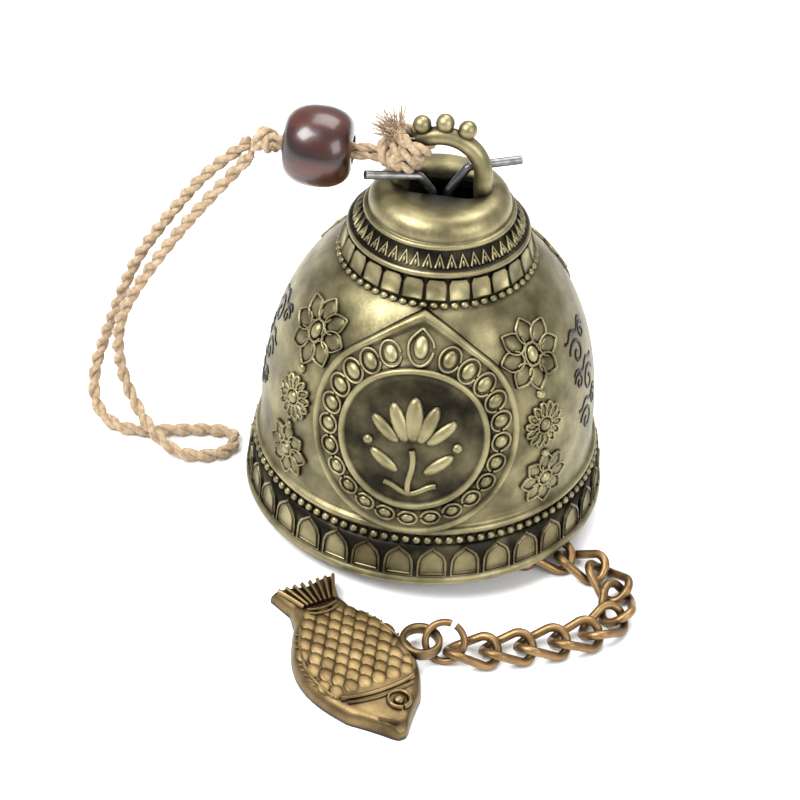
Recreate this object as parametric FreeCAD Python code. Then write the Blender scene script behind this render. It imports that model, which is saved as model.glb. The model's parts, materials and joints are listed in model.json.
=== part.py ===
import FreeCAD, Part
import math
import os

Vector = FreeCAD.Vector

# Frame: origin on the floor straight under the middle of the bell's rim, +Z up, +X to the right,
# the bell's front medallion faces -Y. All lengths in millimetres, angles in degrees.

# ---- bell casting ----
rim_radius = 25.0
rim_edge_height = 0.8
wall = 1.6
rim_wall = 1.8
skirt_height = 8.2
skirt_top_radius = 24.0
pearl_channel_radius = 23.3
pearl_channel_height = 1.1
dome_radius = 23.05
dome_base_height = 10.0
dome_rise = 31.4
dome_roundness = 2.4
collar_below_dome_top = 3.9
collar_height = dome_base_height + dome_rise - collar_below_dome_top
collar_foot_radius = 12.7
collar_waist_radius = 11.8
collar_flare = 4.3
collar_waist_height = collar_height + collar_flare
neck_radius = 9.8
collar_to_neck = 2.9
neck_height = collar_waist_height + collar_to_neck
cap_radius = 9.5
cap_depth = 3.2
cap_top_height = neck_height + cap_depth
ridge_bead = 0.6
collar_bead = 0.5
slot_half_length = 5.8
slot_half_width = 2.5

# ---- handle of the casting ----
arch_radius = 5.4
arch_rise_above_cap = 2.2
arch_centre_height = cap_top_height + arch_rise_above_cap
arch_bar_radius = 1.25
handle_ball_radius = 1.25
handle_ball_sink = 0.55
handle_ball_step = 24.0

# ---- how the bell leans on the chain that runs under its rim ----
lean_angle = 4.4
lean_heading = -33.0

# ---- hanger wire ----
hanger_wire_radius = 0.6
hanger_heading = 25.0
hanger_above_cap = 0.1
hanger_pivot_height = cap_top_height + hanger_above_cap
hanger_arm_reach = 10.7
hanger_leg_gap = 1.1
hanger_eye_half_width = 6.6
hanger_eye_height = 8.0
hanger_bend = 0.95
hung_offset = 3.2

# ---- clapper ----
clapper_ring_radius = 2.2
clapper_wire_radius = 0.6
clapper_play = 0.15
clapper_arm = 17.2
clapper_ball_radius = 3.6
clapper_bore_clearance = 0.05
clapper_head_radius = 1.1
clapper_head_length = 0.6

# ---- chain ----
link_wire_radius = 0.6
link_end_clearance = 0.35
link_half_width = 2.7
link_twist = 42.0
link_bend = 1.8
link_pitch = 4.9
link_half_length = link_pitch / 2 + link_wire_radius + link_end_clearance
link_floor_height = 1.58
bar_seat = 0.9
ring_seat = 1.2
link_headings = [-70, -70, -70, -66, -62, -50, -26, 0, 6, -14, -48, -88, -126, -147, -154, -156, -164]
link_slopes = [80, 74, 64, 50, 33, 15, 0, 0, 0, 0, 0, 0, 0, 0, 0, 0, 0]
link_rolls = [-40, -28, -18, -10, -4, 0, 0, 0, 0, 0, 0, 0, 0, 0, 0, 0, 0]

# ---- jump ring ----
ring_radius = 2.6
ring_wire_radius = 0.48
ring_tilt = 52.0
ring_heading = -4.0
ring_gap_angle = 14.0
ring_gap_at = 75.0
ring_lift = 0.06

# ---- fish pendant ----
fish_length = 29.5
fish_half_width = 8.2
fish_waist_half_width = 3.0
fish_tail_half_width = 5.0
fish_thickness = 3.2
fish_edge_round = 0.9
fish_edge_facets = 32
fish_heading = -53.0
fish_lift = 0.05
eyelet_along = 16.6
eyelet_out = 9.4
eyelet_hole_radius = 2.0
eyelet_outer_radius = 2.9
eyelet_from_ring = 3.2
eyelet_turn = 164.0
eyelet_under = 1.6
eyelet_thickness = 1.5

# ---- cord and bead ----
cord_radius = 0.92
neck_cord_radius = 1.4
hitch_radius = 2.45
hitch_angle = 150.0
hitch_clearance = 0.35
hitch_lump_radius = 2.3
knot_radius = 2.1
knot_clearance = 0.15
bead_length = 9.1
bead_radius = 5.45
bead_end_radius = 3.3
bead_bore_clearance = 0.3
tuft_base_radius = 1.1
tuft_tip_radius = 1.9
tuft_length = 4.6

HITCH_LUMP = Vector(-9.5, 2.3, 53.0)
KNOT = Vector(-26.9, 2.0, 51.9)
BEAD = 0.585
TUFT_DIRECTION = Vector(-0.35, 0.0, 1.0)

# The loop's route from the knot down its outer run, along the floor to the bight and back up.
LOOP_ROUTE = [
    (-28.7, 2.6, 51.0), (-33.6, 2.9, 45.6), (-37.4, 3.1, 39.2), (-41.0, 3.3, 32.4), (-43.9, 3.5, 26.0),
    (-45.6, 3.6, 19.0), (-47.4, 3.6, 12.2), (-48.6, 3.0, 6.0), (-47.6, 0.6, 2.0), (-44.2, -1.9, 0.98),
    (-40.0, -1.7, 0.98), (-35.6, -0.2, 0.98), (-31.2, 1.2, 0.98), (-27.2, 1.5, 0.98), (-27.0, -2.3, 0.98),
    (-30.6, -4.8, 0.98), (-34.9, -5.3, 1.3), (-38.7, -3.2, 2.7), (-41.6, -0.4, 4.5), (-43.9, 0.9, 8.2),
    (-45.0, 1.0, 13.6), (-44.6, 0.9, 19.2), (-42.4, 0.8, 25.0), (-39.7, 0.9, 30.6), (-36.6, 1.0, 36.4),
    (-33.1, 1.2, 42.2), (-30.1, 1.5, 46.8), (-28.1, 1.7, 50.0),
]

os.makedirs("parts", exist_ok=True)


def heading(angle, length=1.0):
    a = math.radians(angle)
    return Vector(length * math.cos(a), length * math.sin(a), 0)


def lean_axis():
    a = math.radians(lean_heading)
    return Vector(math.sin(a), -math.cos(a), 0)


def leaned(shape):
    """Carries a shape from the upright bell's own frame into the leaning bell."""
    moved = shape.copy()
    moved.rotate(Vector(0, 0, 0), lean_axis(), lean_angle)
    moved.translate(Vector(0, 0, rim_radius * math.sin(math.radians(lean_angle))))
    return moved


def leaned_point(point):
    turn = FreeCAD.Rotation(lean_axis(), lean_angle)
    return turn.multVec(point) + Vector(0, 0, rim_radius * math.sin(math.radians(lean_angle)))


def disc(radius, centre, normal):
    return Part.Face(Part.Wire([Part.makeCircle(radius, centre, normal)]))


def rod(points, radius, bend=None, closed=False):
    """A round bar along straight runs joined by tangent arcs. Without a bend radius each corner
    takes 0.45 of its shorter run."""
    count = len(points)
    corners = []
    length = 0.0
    for i, point in enumerate(points):
        if not closed and i in (0, count - 1):
            corners.append((point, None, point))
            continue
        before = points[i - 1] - point
        after = points[(i + 1) % count] - point
        shorter = min(before.Length, after.Length)
        before.normalize()
        after.normalize()
        half = before.getAngle(after) / 2
        corner_bend = bend if bend else 0.45 * shorter * math.tan(half)
        cut = corner_bend / math.tan(half)
        inward = before + after
        inward.normalize()
        centre = point + inward * (corner_bend / math.sin(half))
        corners.append((point + before * cut, centre, point + after * cut))
    pieces = []
    for i in range(count):
        start, centre, end = corners[i]
        if centre is not None:
            axis = (start - centre).cross(end - centre)
            axis.normalize()
            angle = math.degrees((start - centre).getAngle(end - centre))
            tangent = axis.cross(start - centre)
            pieces.append(disc(radius, start, tangent).revolve(centre, axis, angle))
            length += math.radians(angle) * (start - centre).Length
        if closed or i < count - 1:
            run = corners[(i + 1) % count][0] - end
            if run.Length > 1e-6:
                pieces.append(disc(radius, end, run).extrude(run))
                length += run.Length
    bar = pieces[0].multiFuse(pieces[1:]).removeSplitter()
    return single(bar), length


def single(shape):
    return max(shape.Solids, key=lambda solid: solid.Volume)


def dome_outline(radius, rise, low, high, steps):
    """Points of the rounded dome between two heights above its base."""
    outline = []
    for i in range(steps + 1):
        z = low + (high - low) * i / steps
        level = (z - dome_base_height) / rise
        r = radius * (1 - max(level, 0.0) ** dome_roundness) ** (1 / dome_roundness)
        outline.append(Vector(r, 0, z))
    return outline


def dome_solid(radius, rise, low, high, below, above):
    """Solid of revolution: the dome's curved side with straight outlines below and above it."""
    outline = dome_outline(radius, rise, low, high, 9)
    curve = Part.BSplineCurve()
    curve.interpolate(Points=outline)
    lower = [Vector(0, 0, 0)] + [Vector(r, 0, z) for r, z in below] + [outline[0]]
    upper = [outline[-1]] + [Vector(r, 0, z) for r, z in above]
    upper.append(Vector(0, 0, above[-1][1]))
    wire = Part.Wire([Part.makePolygon(lower), curve.toShape(), Part.makePolygon(upper + [lower[0]])])
    return Part.Face(wire).revolve(Vector(0, 0, 0), Vector(0, 0, 1), 360)


def ridge(radius, height, bead):
    return Part.makeTorus(radius, bead, Vector(0, 0, height), Vector(0, 0, 1))


def handle():
    foot = cap_top_height - 1.2
    left = Vector(-arch_radius, 0, arch_centre_height)
    legs = []
    for side in (-1, 1):
        base = Vector(side * arch_radius, 0, foot)
        legs.append(Part.makeCylinder(arch_bar_radius, arch_centre_height - foot, base))
    arch = disc(arch_bar_radius, left, Vector(0, 0, 1))
    arch = arch.revolve(Vector(0, 0, arch_centre_height), Vector(0, 1, 0), 180)
    reach = arch_radius + arch_bar_radius + handle_ball_radius - handle_ball_sink
    balls = []
    for step in (-1, 0, 1):
        a = math.radians(90 + step * handle_ball_step)
        centre = Vector(reach * math.cos(a), 0, arch_centre_height + reach * math.sin(a))
        balls.append(Part.makeSphere(handle_ball_radius, centre))
    return arch.multiFuse(legs + balls)


def slot_cutter():
    depth = 8.0
    flat = slot_half_length - slot_half_width
    box = Part.makeBox(2 * flat, 2 * slot_half_width, depth,
                       Vector(-flat, -slot_half_width, cap_top_height - depth / 2))
    ends = []
    for side in (-1, 1):
        base = Vector(side * flat, 0, cap_top_height - depth / 2)
        ends.append(Part.makeCylinder(slot_half_width, depth, base))
    return box.multiFuse(ends)


def bell_casting():
    ledge = rim_edge_height + 0.3
    below = [
        (rim_radius, 0), (rim_radius, rim_edge_height), (rim_radius - 0.4, ledge),
        (skirt_top_radius, skirt_height - ridge_bead - pearl_channel_height),
        (pearl_channel_radius, skirt_height - ridge_bead - pearl_channel_height + 0.2),
        (pearl_channel_radius, skirt_height + ridge_bead),
    ]
    above = [
        (collar_foot_radius + 0.4, collar_height + 0.1), (collar_foot_radius, collar_height + 0.7),
        (collar_waist_radius, collar_waist_height), (collar_waist_radius - 0.3, collar_waist_height + 0.4),
        (neck_radius, neck_height - 0.4), (neck_radius - 0.4, neck_height + 0.3),
        (cap_radius, neck_height + 1.1), (cap_radius - 0.35, neck_height + 1.9),
        (cap_radius - 1.2, cap_top_height - 0.6), (cap_radius - 2.7, cap_top_height - 0.15),
        (slot_half_length, cap_top_height),
    ]
    outside = dome_solid(dome_radius, dome_rise, dome_base_height - 0.8, collar_height, below, above)
    inner_below = [(rim_radius - rim_wall, 0), (dome_radius - wall + 0.2, skirt_height)]
    inner_above = [
        (collar_foot_radius - 2.4, collar_height + 1.1), (collar_waist_radius - 2.2, collar_waist_height - 0.8),
        (neck_radius - 1.9, neck_height - 0.4), (cap_radius - 2.1, neck_height + 0.8),
        (cap_radius - 3.3, cap_top_height - wall),
    ]
    inside = dome_solid(dome_radius - wall, dome_rise - wall, dome_base_height,
                        collar_height - 0.5, inner_below, inner_above)
    ridges = [
        ridge(pearl_channel_radius - 0.2, skirt_height, ridge_bead),
        ridge(collar_foot_radius + 0.25, collar_height + 0.3, collar_bead),
        ridge(collar_waist_radius - 0.12, collar_waist_height + 0.15, collar_bead),
        ridge(neck_radius, neck_height, collar_bead * 0.8),
    ]
    body = outside.multiFuse(ridges).cut(inside).cut(slot_cutter())
    body = body.fuse(handle())
    return leaned(single(body.removeSplitter()))


def hanger_pivot():
    return leaned_point(Vector(0, 0, hanger_pivot_height))


def chain_drop():
    return link_pitch * sum(math.sin(math.radians(s)) for s in link_slopes)


def hanger_bar_point(offset):
    """A point on the axis of the bar at the bottom of the hanger's eye."""
    pivot = hanger_pivot()
    height = link_floor_height + chain_drop() - bar_seat
    return Vector(pivot.x, pivot.y, height) + heading(hanger_heading, offset)


def hanger_wire():
    pivot = hanger_pivot()
    bar = hanger_bar_point(0).z - pivot.z
    outline = [
        (-hanger_arm_reach, 2.7), (-3.2, 1.7), (-hanger_leg_gap, -1.0),
        (-hanger_leg_gap, bar + hanger_eye_height), (-hanger_eye_half_width, bar),
        (hanger_eye_half_width, bar), (hanger_leg_gap, bar + hanger_eye_height),
        (hanger_leg_gap, -1.0), (3.4, 2.6), (hanger_arm_reach, 2.9),
    ]
    points = [pivot + heading(hanger_heading, u) + Vector(0, 0, z) for u, z in outline]
    return rod(points, hanger_wire_radius, hanger_bend)[0]


def clapper_top():
    return hanger_bar_point(-hung_offset)


def clapper_ring_centre():
    drop = clapper_ring_radius - hanger_wire_radius - clapper_wire_radius - clapper_play
    return clapper_top() - Vector(0, 0, drop)


def clapper_rod():
    centre = clapper_ring_centre()
    ring = Part.makeTorus(clapper_ring_radius, clapper_wire_radius, centre, heading(hanger_heading))
    ball = clapper_ball_centre()
    stem_top = centre.z - clapper_ring_radius
    bore = clapper_wire_radius + clapper_bore_clearance
    seat = math.sqrt(clapper_ball_radius ** 2 - bore ** 2)
    end = ball.z - seat - clapper_head_length
    stem = Part.makeCylinder(clapper_wire_radius, stem_top - end, Vector(centre.x, centre.y, end))
    head = Part.makeCylinder(clapper_head_radius, clapper_head_length, Vector(centre.x, centre.y, end))
    collar = Part.makeCylinder(clapper_head_radius, clapper_head_length,
                               Vector(centre.x, centre.y, ball.z + clapper_ball_radius))
    return single(ring.multiFuse([stem, head, collar]).removeSplitter())


def clapper_ball_centre():
    return clapper_top() - Vector(0, 0, clapper_arm)


def clapper_ball():
    centre = clapper_ball_centre()
    ball = Part.makeSphere(clapper_ball_radius, centre)
    bore = Part.makeCylinder(clapper_wire_radius + clapper_bore_clearance, 2.2 * clapper_ball_radius,
                             centre - Vector(0, 0, 1.1 * clapper_ball_radius))
    return single(ball.cut(bore))


def link_axes(index):
    """Along, across and up directions of one link."""
    slope = math.radians(link_slopes[index])
    roll = link_rolls[index]
    along = heading(link_headings[index], math.cos(slope)) - Vector(0, 0, math.sin(slope))
    across = heading(link_headings[index] + 90)
    turn = FreeCAD.Rotation(along, roll)
    across = turn.multVec(across)
    return along, across, along.cross(across)


def link_joint(index):
    """Where link number index hangs in the one before it."""
    point = hanger_bar_point(hung_offset) + Vector(0, 0, bar_seat)
    for i in range(index):
        point = point + link_axes(i)[0] * link_pitch
    return point


def chain_link(index):
    along, across, up = link_axes(index)
    centre = link_joint(index) + along * (link_pitch / 2)
    twist = math.radians(link_twist)
    side = across * (link_half_width * math.cos(twist))
    rise = up * (link_half_width * math.sin(twist))
    end = along * link_half_length
    corners = [centre + end + side + rise, centre + end - side - rise,
               centre - end - side + rise, centre - end + side - rise]
    return rod(corners, link_wire_radius, link_bend, closed=True)[0]


def ring_axes():
    level = heading(ring_heading)
    upslope = heading(ring_heading + 90, math.cos(math.radians(ring_tilt)))
    upslope = upslope + Vector(0, 0, math.sin(math.radians(ring_tilt)))
    return level, upslope


def ring_centre():
    height = ring_radius * math.sin(math.radians(ring_tilt)) + ring_wire_radius + ring_lift
    count = len(link_headings)
    inside = link_joint(count) - link_axes(count - 1)[0] * ring_seat
    return Vector(inside.x, inside.y, height) - heading(ring_heading, ring_radius)


def jump_ring():
    level, upslope = ring_axes()
    centre = ring_centre()
    first = math.radians(ring_gap_at + ring_gap_angle / 2)
    start = centre + (level * math.cos(first) + upslope * math.sin(first)) * ring_radius
    normal = level.cross(upslope)
    tangent = normal.cross(start - centre)
    face = disc(ring_wire_radius, start, tangent)
    return face.revolve(centre, normal, 360 - ring_gap_angle)


def eyelet_centre():
    """The hole sits so that the ring's low side passes under the eyelet's outer wall."""
    level, upslope = ring_axes()
    low = ring_centre() - upslope * ring_radius
    spot = low + heading(ring_heading + eyelet_turn, eyelet_from_ring)
    return Vector(spot.x, spot.y, 0)


def fish_point(along, out, height=0.0):
    tail = eyelet_centre() - heading(fish_heading, eyelet_along) - heading(fish_heading + 90, eyelet_out)
    return tail + heading(fish_heading, along) + heading(fish_heading + 90, out) + Vector(0, 0, height)


def fish_outline(inset, height):
    """The fish's edge at one height, drawn in by an inset all round."""
    side = [
        (1.6 + inset, 0.0), (0.3 + inset, fish_tail_half_width * 0.6 - inset / 2),
        (0.5 + inset, fish_tail_half_width * 0.95 - inset), (2.6, fish_tail_half_width * 0.9 - inset),
        (6.2, fish_waist_half_width - inset), (10.5, fish_half_width * 0.72 - inset),
        (16.0, fish_half_width - inset), (21.5, fish_half_width * 0.93 - inset),
        (26.3 - inset / 2, fish_half_width * 0.62 - inset), (fish_length - inset, 0.0),
    ]
    curve = Part.BSplineCurve()
    curve.interpolate(Points=[Vector(s, v, height) for s, v in side])
    half = curve.toShape().discretize(Number=fish_edge_facets)
    near = [fish_point(point.x, point.y, height) for point in half]
    far = [fish_point(point.x, -point.y, height) for point in reversed(half[1:-1])]
    return Part.makePolygon(near + far + [near[0]])


def fish_pendant():
    layers = [
        (fish_edge_round / 2, fish_lift, fish_edge_round),
        (0.0, fish_lift + fish_edge_round / 2, fish_thickness - 1.5 * fish_edge_round),
        (fish_edge_round, fish_lift + fish_edge_round, fish_thickness - fish_edge_round),
    ]
    plates = []
    for inset, base, height in layers:
        plates.append(Part.Face(fish_outline(inset, base)).extrude(Vector(0, 0, height)))
    plate = plates[0].multiFuse(plates[1:])
    hole = eyelet_centre() + Vector(0, 0, eyelet_under)
    boss = Part.makeCylinder(eyelet_outer_radius, eyelet_thickness, hole)
    bore = Part.makeCylinder(eyelet_hole_radius, 12.0, hole - Vector(0, 0, 6.0))
    return single(plate.fuse(boss).cut(bore).removeSplitter())


def arch_point(angle):
    a = math.radians(angle)
    return Vector(arch_radius * math.cos(a), 0, arch_centre_height + arch_radius * math.sin(a))


def hitch_centre():
    return leaned_point(arch_point(hitch_angle))


def cord_hitch():
    wrap = Part.makeSphere(hitch_radius, hitch_centre())
    lump = Part.makeSphere(hitch_lump_radius, HITCH_LUMP)
    bar = Part.makeTorus(arch_radius, arch_bar_radius + hitch_clearance,
                         Vector(0, 0, arch_centre_height), Vector(0, 1, 0))
    return single(wrap.fuse(lump).cut(leaned(bar)).removeSplitter())


def cord_knot():
    return Part.makeSphere(knot_radius, KNOT)


def neck_direction():
    way = KNOT - HITCH_LUMP
    way.normalize()
    return way


def cord_neck():
    way = KNOT - HITCH_LUMP
    start = HITCH_LUMP + (KNOT - HITCH_LUMP) * 0.06
    tube = disc(neck_cord_radius, start, way).extrude(KNOT - start)
    return single(tube.cut(cord_hitch()).cut(cord_knot()))


def cord_tail_tuft():
    way = Vector(TUFT_DIRECTION)
    way.normalize()
    base = HITCH_LUMP + way * (hitch_lump_radius * 0.6)
    tuft = Part.makeCone(tuft_base_radius, tuft_tip_radius, tuft_length, base, way)
    return single(tuft.cut(cord_hitch()))


def bead_centre():
    return HITCH_LUMP + (KNOT - HITCH_LUMP) * BEAD


def wood_bead():
    half = bead_length / 2
    side = []
    steps = 12
    for i in range(steps + 1):
        t = -1 + 2 * i / steps
        r = bead_end_radius + (bead_radius - bead_end_radius) * (1 - abs(t) ** 3.2) ** 0.55
        side.append(Vector(r, 0, half * t))
    curve = Part.BSplineCurve()
    curve.interpolate(Points=side)
    ends = Part.makePolygon([side[-1], Vector(0, 0, half), Vector(0, 0, -half), side[0]])
    barrel = Part.Face(Part.Wire([curve.toShape(), ends]))
    barrel = barrel.revolve(Vector(0, 0, 0), Vector(0, 0, 1), 360)
    bore = Part.makeCylinder(neck_cord_radius + bead_bore_clearance, bead_length + 2, Vector(0, 0, -half - 1))
    bead = barrel.cut(bore)
    turn = FreeCAD.Rotation(Vector(0, 0, 1), neck_direction())
    bead.Placement = FreeCAD.Placement(bead_centre(), turn)
    return bead


def cord_loop():
    points = [Vector(*p) for p in LOOP_ROUTE]
    tube, length = rod(points, cord_radius)
    clear = Part.makeSphere(knot_radius + knot_clearance, KNOT)
    return single(tube.cut(clear)), length


def write(name, shape):
    shape.exportStep("parts/" + name + ".step")
    box = shape.optimalBoundingBox(False, False)
    print("%-16s solids %d valid %s volume %.2f  x %.1f..%.1f y %.1f..%.1f z %.2f..%.2f" % (
        name, len(shape.Solids), shape.isValid(), shape.Volume,
        box.XMin, box.XMax, box.YMin, box.YMax, box.ZMin, box.ZMax))


write("bell_casting", bell_casting())
write("hanger_wire", hanger_wire())
write("clapper_rod", clapper_rod())
write("clapper_ball", clapper_ball())
for number in range(len(link_headings)):
    write("chain_link_%02d" % (number + 1), chain_link(number))
write("jump_ring", jump_ring())
write("fish_pendant", fish_pendant())
write("cord_hitch", cord_hitch())
write("cord_tail_tuft", cord_tail_tuft())
write("cord_neck", cord_neck())
write("cord_knot", cord_knot())
write("wood_bead", wood_bead())
loop, loop_length = cord_loop()
write("cord_loop", loop)
print("cord radius", cord_radius, "loop length", round(loop_length, 2),
      "volume over section times length", round(loop.Volume / (math.pi * cord_radius ** 2 * loop_length), 4))
print("neck cord radius", neck_cord_radius)
print("hanger pivot", hanger_pivot())
print("clapper pivot", clapper_top())
for number in range(len(link_headings) + 1):
    print("link joint", number + 1, link_joint(number))
print("ring centre", ring_centre(), "eyelet", eyelet_centre())
print("hitch", hitch_centre(), "bead", bead_centre(), neck_direction())
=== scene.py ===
import json
import math
import random

import bmesh
import bpy
from mathutils import Matrix, Vector


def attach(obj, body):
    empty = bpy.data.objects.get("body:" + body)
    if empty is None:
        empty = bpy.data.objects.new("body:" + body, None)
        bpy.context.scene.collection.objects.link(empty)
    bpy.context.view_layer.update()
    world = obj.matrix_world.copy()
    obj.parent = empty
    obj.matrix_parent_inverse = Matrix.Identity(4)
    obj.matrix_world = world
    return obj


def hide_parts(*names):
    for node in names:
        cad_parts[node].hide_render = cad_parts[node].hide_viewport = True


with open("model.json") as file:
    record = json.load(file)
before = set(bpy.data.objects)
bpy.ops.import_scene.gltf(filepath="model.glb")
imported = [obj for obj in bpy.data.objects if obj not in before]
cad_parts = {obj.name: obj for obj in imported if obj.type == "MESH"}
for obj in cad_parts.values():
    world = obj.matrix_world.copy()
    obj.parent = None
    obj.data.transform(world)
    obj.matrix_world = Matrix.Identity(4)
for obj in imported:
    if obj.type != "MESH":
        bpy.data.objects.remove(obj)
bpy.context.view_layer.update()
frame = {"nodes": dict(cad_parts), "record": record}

JOINTS = {joint["name"]: joint for joint in frame["record"]["behaviour"]["joints"]}
MM = 0.001

# Bell sizes in millimetres, upright, before it leans on the chain.
RIM_RADIUS = 25.0
DOME_RADIUS = 23.05
DOME_BASE = 10.0
DOME_RISE = 31.4
DOME_ROUNDNESS = 2.4
DOME_TOP = 37.5
WALL = 1.6
CAP_TOP = 47.9
SLOT_HALF_LENGTH = 5.8
SLOT_HALF_WIDTH = 2.5
ARCH_RADIUS = 5.4
ARCH_CENTRE = 50.1
ARCH_BAR = 1.25
LEAN_ANGLE = 4.4
LEAN_HEADING = -33.0

lean_turn = math.radians(LEAN_HEADING)
LEAN = (
    Matrix.Translation((0, 0, RIM_RADIUS * math.sin(math.radians(LEAN_ANGLE))))
    @ Matrix.Rotation(math.radians(LEAN_ANGLE), 4, Vector((math.sin(lean_turn), -math.cos(lean_turn), 0)))
)


# ---------------------------------------------------------------- materials

def node(tree, kind, **sockets):
    made = tree.nodes.new(kind)
    for name, value in sockets.items():
        made.inputs[name.replace("_", " ")].default_value = value
    return made


def ramp(tree, source, stops):
    made = tree.nodes.new("ShaderNodeValToRGB")
    elements = made.color_ramp.elements
    while len(elements) < len(stops):
        elements.new(0.5)
    for element, (place, colour) in zip(elements, stops):
        element.position = place
        element.color = (*colour, 1) if len(colour) == 3 else colour
    tree.links.new(source, made.inputs["Fac"])
    return made.outputs["Color"]


def object_noise(tree, scale, detail=4.0, stretch=(1, 1, 1), turn=(0, 0, 0)):
    place = tree.nodes.new("ShaderNodeTexCoord")
    mapping = tree.nodes.new("ShaderNodeMapping")
    mapping.inputs["Scale"].default_value = stretch
    mapping.inputs["Rotation"].default_value = turn
    tree.links.new(place.outputs["Object"], mapping.inputs["Vector"])
    noise = node(tree, "ShaderNodeTexNoise", Scale=scale, Detail=detail)
    tree.links.new(mapping.outputs["Vector"], noise.inputs["Vector"])
    return noise.outputs["Fac"]


def mixed(tree, factor, first, second, blend="MIX"):
    made = tree.nodes.new("ShaderNodeMix")
    made.data_type = "RGBA"
    made.blend_type = blend
    for socket, value in ((made.inputs[0], factor), (made.inputs[6], first), (made.inputs[7], second)):
        if isinstance(value, bpy.types.NodeSocket):
            tree.links.new(value, socket)
        elif isinstance(value, (int, float)):
            socket.default_value = value
        else:
            socket.default_value = (*value, 1)
    return made.outputs[2]


def maths(tree, operation, first, second=0.0):
    made = tree.nodes.new("ShaderNodeMath")
    made.operation = operation
    for socket, value in zip(made.inputs, (first, second)):
        if isinstance(value, bpy.types.NodeSocket):
            tree.links.new(value, socket)
        else:
            socket.default_value = value
    return made.outputs[0]


def shader(name, metallic, roughness):
    material = bpy.data.materials.new(name)
    material.use_nodes = True
    surface = material.node_tree.nodes["Principled BSDF"]
    surface.inputs["Metallic"].default_value = metallic
    surface.inputs["Roughness"].default_value = roughness
    return material, material.node_tree, surface


def bump(tree, surface, heights, strength, distance):
    made = node(tree, "ShaderNodeBump", Strength=strength, Distance=distance)
    tree.links.new(heights, made.inputs["Height"])
    tree.links.new(made.outputs["Normal"], surface.inputs["Normal"])


def aged_metal_with_painted_shade(name, bright, mid, dark, relief, painted_shade_mm=1.4, roughness=(0.3, 0.55), grain=2600.0):
    """Cast metal: worn bright on its raised parts and darker in its sunk parts, following the relief
    attribute, with painted shade from an ambient occlusion node making it nearly black in its corners and
    recesses.
    """
    material, tree, surface = shader(name, 0.92, 0.4)
    blotches = object_noise(tree, 240.0)
    colour = ramp(tree, blotches, [(0.3, mid), (0.68, bright)])
    # Painted shade: an ambient occlusion node darkens the colour in corners, creases and recesses.
    painted_crevice_shade = node(tree, "ShaderNodeAmbientOcclusion", Distance=painted_shade_mm * MM)
    painted_crevice_shade.samples = 6
    shade = maths(tree, "POWER", painted_crevice_shade.outputs["AO"], 1.7)
    if relief:
        height = tree.nodes.new("ShaderNodeAttribute")
        height.attribute_name = "relief"
        lifted = maths(tree, "MULTIPLY", height.outputs["Fac"], shade)
        patchy = maths(tree, "MULTIPLY", maths(tree, "SUBTRACT", blotches, 0.5), 0.7)
        shade = maths(tree, "ADD", lifted, patchy)
    # Mixes in the dark colour where the painted shade is deep and where the relief attribute marks sunk
    # parts.
    colour = mixed(tree, shade, dark, colour)
    tree.links.new(colour, surface.inputs["Base Color"])
    fine = object_noise(tree, grain, 6.0)
    rough = tree.nodes.new("ShaderNodeMapRange")
    rough.inputs["To Min"].default_value = roughness[0]
    rough.inputs["To Max"].default_value = roughness[1]
    tree.links.new(fine, rough.inputs["Value"])
    tree.links.new(rough.outputs["Result"], surface.inputs["Roughness"])
    bump(tree, surface, fine, 0.35, 0.00006)
    return material


def drawn_wire():
    material, tree, surface = shader("dull steel wire", 1.0, 0.36)
    streaks = object_noise(tree, 900.0)
    tree.links.new(ramp(tree, streaks, [(0.3, (0.1, 0.1, 0.1)), (0.7, (0.24, 0.24, 0.24))]),
                   surface.inputs["Base Color"])
    bump(tree, surface, streaks, 0.2, 0.00004)
    return material


def jute_fibre():
    material, tree, surface = shader("jute fibre", 0.0, 0.92)
    fibres = object_noise(tree, 1500.0, 8.0)
    patches = object_noise(tree, 160.0)
    pale = ramp(tree, fibres, [(0.25, (0.15, 0.1, 0.055)), (0.5, (0.36, 0.26, 0.155)),
                               (0.75, (0.55, 0.43, 0.29))])
    colour = mixed(tree, maths(tree, "MULTIPLY", patches, 0.4), pale, (0.34, 0.23, 0.13))
    tree.links.new(colour, surface.inputs["Base Color"])
    surface.inputs["Sheen Weight"].default_value = 0.25
    bump(tree, surface, fibres, 0.8, 0.00015)
    return material


def turned_wood():
    material, tree, surface = shader("dark red wood", 0.0, 0.3)
    bands = object_noise(tree, 420.0, 6.0, (0.16, 1.0, 1.0))
    pores = object_noise(tree, 2200.0, 4.0, (0.08, 1.0, 1.0))
    colour = ramp(tree, bands, [(0.35, (0.008, 0.003, 0.002)), (0.5, (0.035, 0.006, 0.004)),
                                (0.66, (0.06, 0.011, 0.005)), (0.82, (0.15, 0.036, 0.01))])
    open_pores = ramp(tree, pores, [(0.55, (0, 0, 0)), (0.7, (0.6, 0.6, 0.6))])
    colour = mixed(tree, open_pores, colour, (0.012, 0.004, 0.003))
    tree.links.new(colour, surface.inputs["Base Color"])
    surface.inputs["Coat Weight"].default_value = 0.35
    surface.inputs["Coat Roughness"].default_value = 0.12
    bump(tree, surface, pores, 0.15, 0.00005)
    return material


def pale_floor():
    material, tree, surface = shader("pale floor", 0.0, 0.85)
    tint = object_noise(tree, 8.0)
    tree.links.new(ramp(tree, tint, [(0.0, (0.86, 0.86, 0.86)), (1.0, (0.9, 0.9, 0.9))]),
                   surface.inputs["Base Color"])
    return material


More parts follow.
